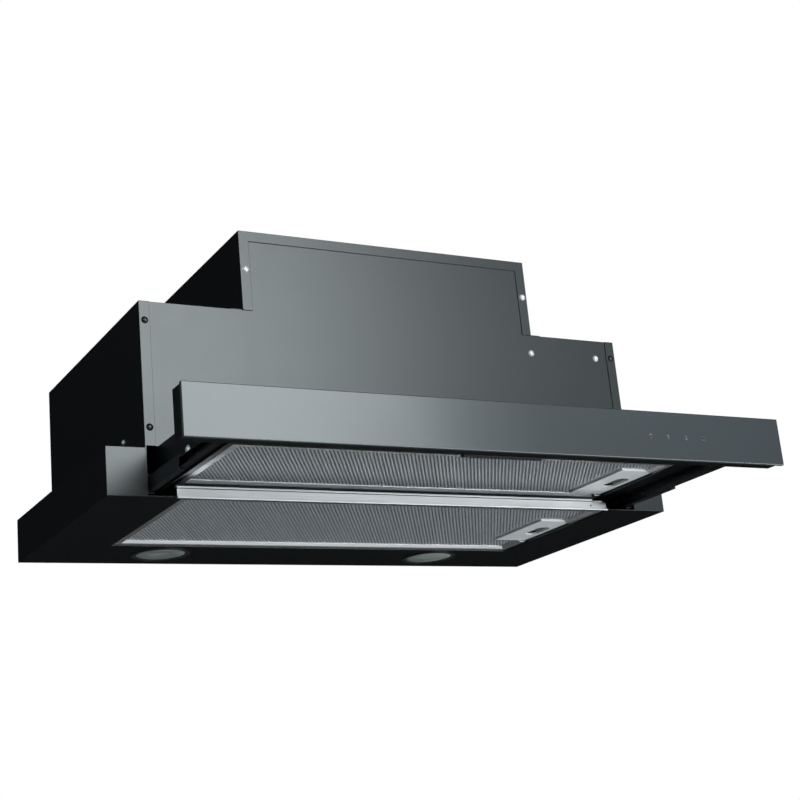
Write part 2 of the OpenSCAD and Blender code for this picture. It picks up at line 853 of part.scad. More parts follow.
module glass_panel() color([0.12, 0.14, 0.15]) place()
  block([-half_w, half_w], [backing_y - glass_t, backing_y], [glass_low, glass_low + glass_h]);

// Touch board behind the glass with one sprung pad for each symbol
module touch_board() color(board) place() {
  y = backing_y + backing_wall;
  last_x = touch_x0 + (touch_count - 1) * touch_pitch;
  block([touch_x0 - touch_margin, last_x + touch_margin], [y, y + board_t],
    [touch_z - touch_h / 2, touch_z + touch_h / 2]);
  for (i = [0:touch_count - 1])
    rod_y(touch_x0 + i * touch_pitch, touch_z, [y + board_t, y + 2 * board_t], chip);
}

// Rail of a filter frame along Y, with the bevel that faces inwards and down
module rail(length) translate([0, length, 0]) rotate([90, 0, 0]) linear_extrude(height = length) polygon([
  [0, 0], [border_w, 0], [rail_w, bevel_h], [rail_w, mesh_z], [rail_w - frame_t, mesh_z],
  [border_w - frame_t / 2, frame_t], [frame_t, frame_t], [frame_t, frame_h - frame_t],
  [rail_w, frame_h - frame_t], [rail_w, frame_h], [0, frame_h]
]);

// Filter frame with its corner at the origin, its tongues on the left and room for the latch
module filter_frame(d, latch_y) {
  difference() {
    union() {
      rail(d);
      translate([filter_w, 0, 0]) mirror([1, 0, 0]) rail(d);
      translate([filter_w, 0, 0]) rotate([0, 0, 90]) rail(filter_w);
      translate([0, d, 0]) rotate([0, 0, -90]) rail(filter_w);
    }
    block([filter_w - latch_w - fit, filter_w + over], [latch_y - fit, latch_y + latch_l + fit],
      [-over, frame_h - frame_t]);
  }
  for (share = tongue_y_shares)
    block([-tongue_out, frame_t], [share * d - tongue_w / 2, share * d + tongue_w / 2],
      [rim_h + gap, rim_h + gap + tongue_t]);
}

// Sheet of filter mesh in its frame, cut back round the latch
module mesh_sheet(d, latch_y, z) difference() {
  block([mesh_in, filter_w - mesh_in], [mesh_in, d - mesh_in], z);
  block([filter_w - latch_w - gap, filter_w + over], [latch_y - gap, latch_y + latch_l + gap],
    [-over, frame_h + over]);
}

// Thumb slot of the latch, drawn about the centre of the slot
module thumb_slot() {
  hull_l = thumb_l - thumb_w;
  square([thumb_w, hull_l], center = true);
  for (s = [-1, 1]) translate([0, s * hull_l / 2]) circle(d = thumb_w);
}

// Fixed latch plate with side walls, a thumb slot and a slot for the bolt
module latch_plate() difference() {
  block([0, latch_w], [0, latch_l], [plate_z, frame_h - frame_t]);
  block([plate_wall, latch_w - plate_wall], [plate_wall, latch_l - plate_wall],
    [plate_z + plate_t, frame_h]);
  translate([thumb_in + thumb_w / 2, latch_l / 2, 0]) linear_extrude(height = frame_h) thumb_slot();
  block([latch_w - plate_wall - over, latch_w + over],
    [latch_l / 2 - bolt_w / 2 - gap, latch_l / 2 + bolt_w / 2 + gap],
    [slider_z - gap, slider_z + slider_t + gap]);
}

// Slider behind the latch plate, with two legs, a thumb grip and the bolt
module latch_slider() {
  x1 = latch_w - plate_wall - gap;
  y = [latch_l / 2 - slider_l / 2, latch_l / 2 + slider_l / 2];
  leg_z = [plate_z + plate_t + gap, slider_z];
  grip_x = thumb_in + thumb_w - grip_inset;
  block([slider_x, x1], y, [slider_z, slider_z + slider_t]);
  block([slider_x, x1], [y[0], y[0] + leg_t], leg_z);
  block([slider_x, x1], [y[1] - leg_t, y[1]], leg_z);
  block([grip_x - grip_t, grip_x], [latch_l / 2 - grip_l / 2, latch_l / 2 + grip_l / 2],
    [plate_z + plate_t / 2, slider_z]);
  block([x1 - leg_t, latch_w + bolt_out], [latch_l / 2 - bolt_w / 2, latch_l / 2 + bolt_w / 2],
    [slider_z, slider_z + slider_t]);
}

// Ring of points round the wire where the coil has turned through deg
function coil_ring(deg, pitch) = [
  for (side = [0:60:300]) [
    pitch * deg / 360 + spring_wire * sin(side),
    (spring_r + spring_wire * cos(side)) * cos(deg),
    (spring_r + spring_wire * cos(side)) * sin(deg)
  ]
];

// Spring between the latch plate's wall and the slider
module latch_spring() {
  x0 = plate_wall + spring_wire;
  pitch = (slider_x - spring_wire - x0) / spring_turns;
  rings = spring_turns * spring_steps;
  points = [for (i = [0:rings]) each coil_ring(360 * i / spring_steps, pitch)];
  walls = [
    for (i = [0:rings - 1], j = [0:5]) let (a = 6 * i + j, b = 6 * i + (j + 1) % 6)
      each [[a, b, b + 6], [a, b + 6, a + 6]]
  ];
  ends = [for (j = [1:4]) each [[0, j + 1, j], [6 * rings, 6 * rings + j, 6 * rings + j + 1]]];
  translate([x0, latch_l / 2, slider_z + slider_t / 2]) polyhedron(points, concat(walls, ends));
}

// Places of the two filters and of their latches
module base_filter_place() place() translate([-filter_w / 2, base_filter_y, sheet]) children();

module drawer_filter_place() place() translate([-filter_w / 2, drawer_filter_y, drawer_floor]) children();

module base_latch_place() place() translate([filter_w / 2 - latch_w, base_latch_y, sheet]) children();

module drawer_latch_place() place()
  translate([filter_w / 2 - latch_w, drawer_latch_y, drawer_floor]) children();

module base_filter_frame() color(alloy) base_filter_place()
  filter_frame(base_filter_d, base_latch_y - base_filter_y);

module base_filter_mesh() color(alloy) base_filter_place()
  mesh_sheet(base_filter_d, base_latch_y - base_filter_y, [mesh_z, mesh_z + mesh_t]);

module base_filter_core() color(grey) base_filter_place()
  mesh_sheet(base_filter_d, base_latch_y - base_filter_y, [mesh_z + mesh_t, mesh_z + mesh_t + core_t]);

module base_latch_plate() color(grey) base_latch_place() latch_plate();

module base_latch() color(grey) base_latch_place() latch_slider();

module base_latch_spring() color(zinc) base_latch_place() latch_spring();

module drawer_filter_frame() color(alloy) drawer_filter_place()
  filter_frame(drawer_filter_d, drawer_latch_y - drawer_filter_y);

module drawer_filter_mesh() color(alloy) drawer_filter_place()
  mesh_sheet(drawer_filter_d, drawer_latch_y - drawer_filter_y, [mesh_z, mesh_z + mesh_t]);

module drawer_filter_core() color(grey) drawer_filter_place()
  mesh_sheet(drawer_filter_d, drawer_latch_y - drawer_filter_y,
    [mesh_z + mesh_t, mesh_z + mesh_t + core_t]);

module drawer_latch_plate() color(grey) drawer_latch_place() latch_plate();

module drawer_latch() color(grey) drawer_latch_place() latch_slider();

module drawer_latch_spring() color(zinc) drawer_latch_place() latch_spring();

// Bright screws of the motor housing and of the control box
module cover_screws() color(zinc) place() {
  front_screws(crown_places(), 0);
  front_screws(box_places(), sheet);
}

module side_screws() color(jet) place() front_screws(side_places(), 0);

module side_wall_screws() color(zinc) place() both()
  translate([body_x, cross_y + cross_d / 2, body_bottom + cross_lift + cross_h / 2]) rotate([0, 90, 0])
    screw(small_head, small_head_h, small_r, small_len);

module collar_screws() color(zinc) place() collar_places() translate([0, 0, collar_flange_t])
  screw(small_head, small_head_h, small_r, small_len);

module drawer_screws() color(zinc) place() both()
  translate([drawer_x, drawer_screw_y, drawer_screw_z]) rotate([0, 90, 0])
    screw(wall_head, wall_head_h, wall_screw_r, small_len);

base_tray();
trim_strip();
trim_end_cap();
body_side_left();
body_side_right();
front_panel();
back_panel();
body_top_plate();
cross_member();
motor_cover();
duct_collar();
damper_pin();
damper_flap_front();
damper_flap_rear();
blower_wrap();
blower_side_left();
blower_side_right();
impeller();
motor_shaft();
impeller_nut();
motor();
motor_bracket();
bracket_screws();
run_capacitor();
control_box();
control_box_lid();
control_board();
terminal_block();
lamp_driver();
cord_grommet();
lamp_housings();
lamp_lenses();
lamp_boards();
slide_outer_members();
slide_middle_members();
slide_inner_members();
drawer_frame();
filter_clip();
panel_backing();
panel_cover();
glass_panel();
touch_board();
base_filter_frame();
base_filter_mesh();
base_filter_core();
base_latch_plate();
base_latch();
base_latch_spring();
drawer_filter_frame();
drawer_filter_mesh();
drawer_filter_core();
drawer_latch_plate();
drawer_latch();
drawer_latch_spring();
cover_screws();
side_screws();
side_wall_screws();
collar_screws();
slide_rivets();
drawer_screws();
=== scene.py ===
"""Looks of the pull out range hood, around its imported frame.

Sizes of the hood are in millimetres until mm(). Those of the stage and of the looks are in metres.
"""
import math

import bmesh
import bpy
from mathutils import Euler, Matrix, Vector

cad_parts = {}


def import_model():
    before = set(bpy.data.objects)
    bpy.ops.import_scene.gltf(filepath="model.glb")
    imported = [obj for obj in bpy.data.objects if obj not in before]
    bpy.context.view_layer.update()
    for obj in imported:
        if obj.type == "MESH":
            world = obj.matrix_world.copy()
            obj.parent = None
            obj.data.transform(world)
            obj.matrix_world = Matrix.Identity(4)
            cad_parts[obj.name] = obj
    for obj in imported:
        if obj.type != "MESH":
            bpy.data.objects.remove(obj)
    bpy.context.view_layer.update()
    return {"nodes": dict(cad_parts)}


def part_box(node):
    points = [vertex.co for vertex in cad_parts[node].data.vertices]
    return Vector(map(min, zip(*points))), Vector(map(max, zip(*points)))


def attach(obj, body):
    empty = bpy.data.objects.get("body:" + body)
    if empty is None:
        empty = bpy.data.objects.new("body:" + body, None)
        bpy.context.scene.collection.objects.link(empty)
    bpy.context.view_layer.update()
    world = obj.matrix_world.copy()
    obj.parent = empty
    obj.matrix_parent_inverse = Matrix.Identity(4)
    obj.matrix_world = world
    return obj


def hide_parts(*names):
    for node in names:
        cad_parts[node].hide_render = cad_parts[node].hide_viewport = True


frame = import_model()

NODES = frame["nodes"]

# The row's origin in the hood's own frame, whose Y runs rearwards from the base's front and whose Z runs
# up from its underside
SEAT_Y = 142.5
BASE_H = 44.0

# Camera, fitted to the photograph's straight edges: its place in millimetres of the row's frame, its turn
# in degrees and its focal length in pixels
CAMERA_AT = (-727.0, -1408.5, -368.2)
CAMERA_TURN = (106.835, 4.996, -27.359)
CAMERA_FOCAL = 1575.2
CAMERA_SHIFT = (0.0325, -0.0125)
FRAME_PX = 800
SENSOR = 36.0

# Surroundings: a dim room, a white backdrop in one direction, a floor and softboxes
WHITE = (1.0, 1.0, 1.0)
ROOM = (0.9, 0.95, 1.0)
ROOM_LEVEL = 0.012
BACKDROP = (0.42, 0.75, 0.52)
BACKDROP_FADE = (20.0, 10.0)  # degrees off its direction where it starts and where it is full
FLOOR_Z = -1.6
FLOOR_R = 1.6
FLOOR_CORNERS = 96
FLOOR_FADE = (0.3, 0.98)  # shares of the floor's area where its glow starts and where it is full
SOFTBOXES = {  # place, aim, size, radiance and colour
    "key_softbox": ((0.3, -2.4, 0.9), (0.3, 0.0, 0.9), (1.7, 1.3), 10.5, WHITE),
    "side_softbox": ((1.85, -2.4, 0.9), (1.85, 0.0, 0.9), (1.3, 1.2), 1.5, (0.85, 0.97, 1.0)),
    "low_softbox": ((1.2, -1.9, -0.75), (0.1, -0.05, 0.0), (1.6, 0.7), 10.5, (0.97, 0.985, 1.0)),
    "left_softbox": ((-2.0, 0.2, 0.5), (0.0, 0.0, 0.1), (1.4, 1.2), 1.9, (0.78, 0.9, 1.0)),
    "rear_softbox": ((0.6, 1.7, 1.9), (0.0, 0.0, 0.1), (1.8, 1.2), 3.0, WHITE),
}

# Looks
BLACK = (0.0042, 0.0048, 0.0056)
COOL = (0.87, 0.975, 1.0, 1.0)  # tint of the gloss on black surfaces
GROUND_BELOW = 0.6  # a face of the glass is a ground edge where its normal's part along Y is less
BEVEL_SAMPLES = 4

# Perforation of the filters' sheets, whose slots slant as photographed, each in a cell of six corners
SLOT_PITCH = 3.81
SLOT_ROW = 3.125
SLOT_CORNER = 0.98  # from a cell's middle to its side corners, front to back
SLOT_LONG_SHARE = 0.9  # of the cell, along the slant
SLOT_WIDE_SHARE = 0.56  # of the cell, across the slant
FIRST_ROW_SHARE = 0.8  # rows between the sheet's edge and its first slots
SHEET_Z = (0.02, 0.5)  # of the strands, above the node's underside
LATCH_MARGIN = 3.0  # between the slots and the latch
LATCH_GAP = 0.5  # between the sheet's plain margin and the latch

# Lip, black strip of painted shadow in the groove, and end cap of the trim strip, whose groove is as in
# part.scad
LIP_BACK = -0.5  # rear in Y
LIP_OVER = 0.22  # before the strip's own lip, at its lower and upper edge
LIP_BULGE = 0.3  # before the strip's own lip, between them
LIP_BULGE_Z = 0.25
LIP_TOP = 0.65  # upper edge in Z
LIP_COVER = 0.03  # below the strip's own lip
GROOVE_Z = (7.6, 8.4)
# span in Y of the black strip that stands in for the groove's shadow, a painted shadow
GROOVE_SHADOW_Y = (-0.75, -0.5)
CAP_CORNER = 3.0  # radius of its upper outer corner
CAP_CROWN_SHARE = 0.25  # of its length, up to where its dome is highest
CAP_COLUMNS = 24
CAP_ROWS = 12
CAP_WELD = 0.01  # closer points become one
CAP_SHARP = 40.0  # degrees between faces from which their edge stays sharp

# Glass and its printed symbols, whose strokes are in units of SYMBOL_SCALE
GLASS_INSET = 0.15  # behind the node's front
GLASS_BEVEL = 0.6
PRINT_Y = (0.05, 0.2)  # behind the node's front, so that the print stands out of the glass
TOUCH_MARGIN = 14.0  # from the touch board's ends to the first and last symbol
SYMBOL_SCALE = 1.9
STROKE_W = 0.26
POWER_R = 0.9
POWER_GAP = 80.0  # degrees at the top of the circle
POWER_POINTS = 11

# Lenses
LENS_PLAY = 0.2  # all round, inside the node
LENS_FACE_SHARE = 0.9  # of the radius, inside the bevel
LENS_RINGS = 40
LENS_CORNERS = 72
RING_H = 0.16


def mm(x, y, z):
    """Point of the hood's own frame as a point of the row's frame in metres."""
    return Vector((x / 1000, (y - SEAT_Y) / 1000, (z - BASE_H) / 1000))


def box(node):
    """Lowest and highest corner of a node in the hood's own frame, to a hundredth."""
    corners = [Vector(corner) * 1000 + Vector((0, SEAT_Y, BASE_H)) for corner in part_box(node)]
    return [tuple(round(value, 2) for value in corner) for corner in corners]


# Nodes of materials and of the world


def put(tree, value, socket):
    """Give a socket a value, or a link where the value is another node's output."""
    if isinstance(value, bpy.types.NodeSocket):
        tree.links.new(value, socket)
    else:
        socket.default_value = value


def calculate(tree, operation, *values):
    """Result of a mathematical operation on numbers or outputs."""
    node = tree.nodes.new("ShaderNodeMath")
    node.operation = operation
    for value, socket in zip(values, node.inputs):
        put(tree, value, socket)
    return node.outputs["Value"]


def rising(tree, value, start, end):
    """0 where a value is at its start, rising to 1 at its end."""
    node = tree.nodes.new("ShaderNodeMapRange")
    node.inputs["From Min"].default_value = start
    node.inputs["From Max"].default_value = end
    tree.links.new(value, node.inputs["Value"])
    return node.outputs["Result"]


class Shader:
    """A material's nodes, with helpers that add those the looks are made of."""

    def __init__(self, name):
        self.material = bpy.data.materials.new(name)
        self.material.use_nodes = True
        self.tree = self.material.node_tree
        self.nodes = self.tree.nodes
        self.links = self.tree.links
        self.bsdf = self.nodes["Principled BSDF"]
        self.coords = self.nodes.new("ShaderNodeTexCoord").outputs["Object"]

    def on_coords(self, kind, vector=None, **inputs):
        """Node with its inputs set, on the object's coordinates unless a vector is given."""
        node = self.nodes.new(kind)
        for key, value in inputs.items():
            node.inputs[key].default_value = value
        self.links.new(vector or self.coords, node.inputs["Vector"])
        return node

    def stretch(self, scale):
        """Coordinates with a scale for each axis."""
        return self.on_coords("ShaderNodeMapping", Scale=scale).outputs["Vector"]

    def noise(self, scale, detail=3.0, roughness=0.5, vector=None):
        node = self.on_coords("ShaderNodeTexNoise", vector, Scale=scale, Detail=detail, Roughness=roughness)
        return node.outputs["Fac"]

    def cells(self, scale, output="Distance"):
        return self.on_coords("ShaderNodeTexVoronoi", Scale=scale).outputs[output]

    def bands(self, scale, axis, distortion=0.0):
        node = self.on_coords("ShaderNodeTexWave", Scale=scale, Distortion=distortion)
        node.bands_direction = axis
        return node.outputs["Fac"]

    def ramp(self, value, low, high, start=0.3, end=0.7):
        """Colours or greys spread over a range of a value."""
        node = self.nodes.new("ShaderNodeValToRGB")
        for element, place, shade in zip(node.color_ramp.elements, (start, end), (low, high)):
            colour = (shade,) * 3 if isinstance(shade, float) else tuple(shade)
            element.position = place
            element.color = colour + (1.0,)
        self.links.new(value, node.inputs["Fac"])
        return node.outputs["Color"]

    def blend(self, share, first, second):
        """Mix of two colours or greys."""
        node = self.nodes.new("ShaderNodeMix")
        node.data_type = "RGBA"
        for key, value in {"Factor": share, "A": first, "B": second}.items():
            put(self.tree, value, node.inputs[key])
        return node.outputs["Result"]

    def edge_share(self):
        """1 on faces that turn away from Y, 0 on the others."""
        normal = self.nodes.new("ShaderNodeTexCoord").outputs["Normal"]
        parts = self.nodes.new("ShaderNodeSeparateXYZ")
        self.links.new(normal, parts.inputs["Vector"])
        along = calculate(self.tree, "ABSOLUTE", parts.outputs["Y"])
        return calculate(self.tree, "LESS_THAN", along, GROUND_BELOW)

    def bump(self, height, strength, distance, edge=0.0):
        """Bump from a height, over edges rounded by a small radius."""
        node = self.nodes.new("ShaderNodeBump")
        node.inputs["Strength"].default_value = strength
        node.inputs["Distance"].default_value = distance
        self.links.new(height, node.inputs["Height"])
        if edge:
            bevel = self.nodes.new("ShaderNodeBevel")
            bevel.samples = BEVEL_SAMPLES
            bevel.inputs["Radius"].default_value = edge
            self.links.new(bevel.outputs["Normal"], node.inputs["Normal"])
        self.links.new(node.outputs["Normal"], self.bsdf.inputs["Normal"])

    def set(self, **values):
        """Set inputs of the surface, named with _ for a space, and give back the material."""
        for key, value in values.items():
            put(self.tree, value, self.bsdf.inputs[key.replace("_", " ")])
        return self.material


def shades(colour, low, high):
    """A colour times each of two factors."""
    return [tuple(channel * factor for channel in colour) for factor in (low, high)]


# Looks


def powder_coat(name, colour, rough):
    """Powder coat with its fine peel."""
    s = Shader(name)
    peel = s.noise(900.0, detail=2.0)
    dark, light = shades(colour, 0.85, 1.15)
    s.bump(peel, strength=0.12, distance=0.0002, edge=0.0005)
    return s.set(
        Base_Color=s.ramp(peel, dark, light),
        Roughness=s.ramp(s.noise(40.0, detail=4.0), rough - 0.008, rough + 0.008),
        Specular_Tint=COOL,
    )


def brushed(name, colour, rough, axis):
    """Metal brushed along one axis."""
    s = Shader(name)
    along, across = 14.0, 2600.0
    scale = [along if letter == axis else across for letter in "XYZ"]
    grain = s.noise(1.0, roughness=0.6, vector=s.stretch(scale))
    dark, light = shades(colour, 0.88, 1.08)
    s.bump(grain, strength=0.15, distance=0.0001, edge=0.0003)
    return s.set(
        Base_Color=s.ramp(grain, dark, light),
        Roughness=s.ramp(grain, rough - 0.05, rough + 0.07),
        Metallic=1.0,
    )


def plated(name, colour, rough, metallic=1.0):
    """Metal with a slight haze, the duller the less metallic it is."""
    s = Shader(name)
    haze = s.noise(500.0)
    dark, light = shades(colour, 0.8, 1.1)
    s.bump(haze, strength=0.1, distance=0.0001, edge=0.0002)
    return s.set(
        Base_Color=s.ramp(haze, dark, light),
        Roughness=s.ramp(haze, rough - 0.06, rough + 0.08),
        Metallic=metallic,
    )


def galvanised(name, colour):
    """Zinc-coated sheet with its spangle."""
    s = Shader(name)
    spangle = s.cells(160.0, "Color")
    dark, light = shades(colour, 0.78, 1.1)
    s.bump(s.noise(300.0), strength=0.08, distance=0.0001, edge=0.0003)
    return s.set(
        Base_Color=s.ramp(spangle, dark, light, start=0.1, end=0.9),
        Roughness=s.ramp(spangle, 0.3, 0.46, start=0.1, end=0.9),
        Metallic=1.0,
    )


def moulded(name, colour, rough, grain=1200.0):
    """Plastic with a fine moulded grain."""
    s = Shader(name)
    dark, light = shades(colour, 0.94, 1.04)
    s.bump(s.cells(grain), strength=0.08, distance=0.0001, edge=0.0004)
    return s.set(
        Base_Color=s.ramp(s.noise(50.0), dark, light),
        Roughness=s.ramp(s.noise(120.0), rough - 0.04, rough + 0.04),
    )


def weave(name, colour):
    """Layers of fine wire mesh behind the perforated sheet."""
    s = Shader(name)
    wires = calculate(s.tree, "MULTIPLY", *[s.bands(340.0, axis, distortion=0.4) for axis in "XY"])
    dark, light = shades(colour, 0.25, 1.0)
    s.bump(wires, strength=0.5, distance=0.0004)
    return s.set(
        Base_Color=s.ramp(wires, dark, light, start=0.1, end=0.6),
        Roughness=s.ramp(wires, 0.6, 0.4),
        Metallic=0.8,
    )


def circuit(name):
    """Green circuit board with paler spots."""
    s = Shader(name)
    spots = s.cells(260.0)
    s.bump(spots, strength=0.1, distance=0.0001)
    return s.set(
        Base_Color=s.ramp(spots, (0.05, 0.22, 0.11), (0.01, 0.08, 0.035), start=0.08, end=0.16),
        Roughness=s.ramp(s.noise(200.0), 0.3, 0.45),
    )


def printed_glass(name, colour, edge_colour):
    """Glass with black print behind it and finely ground edges."""
    s = Shader(name)
    film = s.noise(8.0, detail=2.0)
    dark, light = shades(colour, 0.9, 1.1)
    s.bump(s.noise(20.0, detail=1.0), strength=0.02, distance=0.0001, edge=0.0003)
    ground = s.edge_share()
    return s.set(
        Base_Color=s.blend(ground, s.ramp(film, dark, light), edge_colour + (1.0,)),
        Roughness=s.blend(ground, s.ramp(film, 0.2, 0.23), (0.5, 0.5, 0.5, 1.0)),
        Specular_Tint=COOL,
    )


def frosted_lens_painted_reflection(name, colour):
    """Frosted plastic that lets some light through, with paler patches of painted reflection."""
    s = Shader(name)
    frost = s.noise(1500.0, detail=2.0)
    dark, light = shades(colour, 0.7, 1.6)
    s.bump(frost, strength=0.15, distance=0.0002)
    return s.set(
        # the paler patches in the base colour are painted reflections, not the lens's own colour
        Base_Color=s.ramp(s.noise(34.0, detail=1.0), dark, light, start=0.4, end=0.7),
        Roughness=s.ramp(frost, 0.3, 0.42),
        Transmission_Weight=0.45,
        IOR=1.49,
    )


def soft_rubber(name, colour):
    """Matt rubber with a little dust."""
    s = Shader(name)
    dust = s.noise(700.0, detail=4.0, roughness=0.7)
    dark, light = shades(colour, 0.8, 1.3)
    s.bump(dust, strength=0.2, distance=0.0002)
    return s.set(Base_Color=s.ramp(dust, dark, light), Roughness=s.ramp(dust, 0.75, 0.9))


def laminated(name, colour):
    """Stack of thin steel sheets across the motor's axis."""
    s = Shader(name)
    plates = s.bands(300.0, "X")
    dark, light = shades(colour, 0.55, 1.1)
    s.bump(plates, strength=0.3, distance=0.0003)
    return s.set(
        Base_Color=s.ramp(plates, dark, light),
        Roughness=s.ramp(plates, 0.5, 0.34),
        Metallic=1.0,
    )


LOOKS = {
    "black_sheet": powder_coat("black_powder_coat", BLACK, 0.31),
    "bright_strip": brushed("bright_brushed_strip", (0.8, 0.83, 0.84), 0.45, "X"),
    "zinc": plated("zinc_plate", (0.8, 0.82, 0.83), 0.42, metallic=0.6),
    "black_screw": plated("blackened_steel", (0.06, 0.065, 0.07), 0.4),
    "slide_steel": plated("black_slide_steel", (0.045, 0.05, 0.052), 0.48),
    "alloy": brushed("filter_aluminium", (0.76, 0.79, 0.81), 0.36, "Y"),
    "galvanised": galvanised("galvanised_sheet", (0.62, 0.64, 0.66)),
    "mesh": plated("perforated_aluminium", (0.4, 0.43, 0.455), 0.5, metallic=0.1),
    "weave": weave("fine_wire_mesh", (0.09, 0.095, 0.1)),
    "black_plastic": moulded("black_moulding", (0.012, 0.013, 0.014), 0.5),
    "grey_plastic": moulded("grey_moulding", (0.8, 0.86, 0.87), 0.48),
    "dark_plastic": moulded("dark_grey_moulding", (0.3, 0.355, 0.34), 0.5),
    "board": circuit("circuit_board"),
    "black_rubber": soft_rubber("black_rubber", (0.02, 0.02, 0.02)),
    "frosted": frosted_lens_painted_reflection("frosted_lens_painted_reflection", (0.42, 0.52, 0.49)),
    "dark_glass": printed_glass("black_printed_glass", (0.012, 0.014, 0.017), (0.05, 0.06, 0.06)),
    "bright_steel": plated("bright_steel", (0.62, 0.64, 0.66), 0.22),
    "motor": laminated("motor_laminations", (0.55, 0.56, 0.58)),
    "print": moulded("pale_print", (0.2, 0.215, 0.22), 0.5, grain=2000.0),
}
NODE_LOOKS = {
    "black_sheet": (
        "base_tray body_side_left body_side_right front_panel back_panel body_top_plate cross_member "
        "motor_cover drawer_frame panel_cover panel_backing"
    ),
    "bright_strip": "trim_strip",
    "zinc": "motor_bracket bracket_screws cover_screws side_wall_screws collar_screws drawer_screws",
    "black_screw": "side_screws",
    "slide_steel": "slide_outer_members slide_middle_members slide_inner_members slide_rivets",
    "alloy": "base_filter_frame drawer_filter_frame lamp_boards",
    "galvanised": "blower_wrap blower_side_left blower_side_right",
    "weave": "base_filter_core drawer_filter_core",
    "black_plastic": (
        "duct_collar damper_flap_front damper_flap_rear control_box control_box_lid filter_clip "
        "lamp_housings"
    ),
    "grey_plastic": (
        "impeller run_capacitor terminal_block lamp_driver base_latch_plate drawer_latch_plate"
    ),
    "dark_plastic": "base_latch drawer_latch",
    "board": "control_board touch_board",
    "black_rubber": "cord_grommet",
    "bright_steel": "damper_pin motor_shaft impeller_nut base_latch_spring drawer_latch_spring",
    "motor": "motor",
}


def dress_nodes():
    """Give their looks to the nodes that no piece replaces."""
    for look, names in NODE_LOOKS.items():
        for name in names.split():
            NODES[name].data.materials.clear()
            NODES[name].data.materials.append(LOOKS[look])


# Pieces


def piece(name, verts, faces, look, body, replaced=None, smooth=False):
    """A mesh piece from points in the hood's own frame, which may take a node's place."""
    mesh = bpy.data.meshes.new(name)
    mesh.from_pydata([mm(*vert) for vert in verts], [], faces)
    mesh.validate()
    mesh.polygons.foreach_set("use_smooth", [smooth] * len(mesh.polygons))
    mesh.materials.append(LOOKS[look])
    made = bpy.data.objects.new(name, mesh)
    bpy.context.scene.collection.objects.link(made)
    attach(made, body)
    if replaced:
        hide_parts(replaced)
    return made


def face_outwards(made, weld=0.0, bevel=0.0):
    """Turn a piece's faces outwards, after a weld of close points and before a bevel of its edges."""
    edit = bmesh.new()
    edit.from_mesh(made.data)
    if weld:
        bmesh.ops.remove_doubles(edit, verts=edit.verts[:], dist=weld / 1000)
    bmesh.ops.recalc_face_normals(edit, faces=edit.faces)
    if bevel:
        edges = edit.edges[:]
        bmesh.ops.bevel(edit, geom=edges, offset=bevel / 1000, segments=2, profile=0.5, affect="EDGES")
    edit.to_mesh(made.data)
    edit.free()


def quarter_round(place):
    """Height of a quarter circle of radius 1 over a place between its middle and its rim."""
    return math.sqrt(1 - min(1.0, place ** 2))


def block_faces(start):
    """The faces of a block whose eight corners begin at an index, low ones first."""
    a, b, c, d, e, f, g, h = range(start, start + 8)
    return [(a, d, c, b), (e, f, g, h), (a, b, f, e), (b, c, g, f), (c, d, h, g), (d, a, e, h)]


def ring_faces(start, count):
    """Faces between two closed rings of points that follow each other from an index."""
    pairs = [(start + k, start + (k + 1) % count) for k in range(count)]
    return [(a, b, b + count, a + count) for a, b in pairs]


def grid_faces(start, columns, rows):
    """Faces of a grid whose points begin at an index, column after column."""
    column = rows + 1
    corners = [start + i * column + j for i in range(columns) for j in range(rows)]
    return [(a, a + column, a + column + 1, a + 1) for a in corners]


def extruded(outline, ends):
    """Corners and faces of a closed outline in Y and Z, extruded between two values of X."""
    count = len(outline)
    verts = [(x, y, z) for x in ends for y, z in outline]
    faces = ring_faces(0, count) + [tuple(range(count)), tuple(range(count, 2 * count))]
    return verts, faces


def slot_rings():
    """Six corners of a cell and six of the slot in it, about their middle."""
    along = Vector((SLOT_PITCH / 2, SLOT_ROW)).normalized()
    across = Vector((along.y, -along.x))
    right = Vector((SLOT_PITCH / 2, SLOT_CORNER))
    top = Vector((0, SLOT_ROW - SLOT_CORNER))
    left = Vector((-SLOT_PITCH / 2, SLOT_CORNER))
    cell = [right, top, left, -right, -top, -left]
    slot = [
        SLOT_LONG_SHARE * point.dot(along) * along + SLOT_WIDE_SHARE * point.dot(across) * across
        for point in cell
    ]
    return cell, slot


def slot_middles(sheet_x, sheet_y, latch_x, latch_y):
    """Middles of a sheet's slots, every second row half a pitch aside, clear of the latch."""
    for j in range(int((sheet_y[1] - sheet_y[0]) / SLOT_ROW - 1)):
        y = sheet_y[0] + (j + FIRST_ROW_SHARE) * SLOT_ROW
        at_latch = latch_y[0] - LATCH_MARGIN < y < latch_y[1] + LATCH_MARGIN
        end = latch_x - LATCH_MARGIN if at_latch else sheet_x[1] - SLOT_PITCH / 2
        for i in range(int((sheet_x[1] - sheet_x[0]) / SLOT_PITCH)):
            x = sheet_x[0] + (i + (1 + j % 2) / 2) * SLOT_PITCH
            if x <= end:
                yield x, y


def latch_margins(sheet_end, latch_x, latch_y):
    """Corners in X and Y of the plain margins beside, before and behind the latch."""
    edge = latch_x - LATCH_GAP
    far = LATCH_MARGIN + SLOT_PITCH / 2
    front, rear = latch_y[0] - far, latch_y[1] + far
    spans = [
        (edge - LATCH_MARGIN - SLOT_PITCH, edge, front, rear),
        (edge, sheet_end, front, latch_y[0] - LATCH_GAP),
        (edge, sheet_end, latch_y[1] + LATCH_GAP, rear),
    ]
    return [[(xa, ya), (xb, ya), (xb, yb), (xa, yb)] for xa, xb, ya, yb in spans]


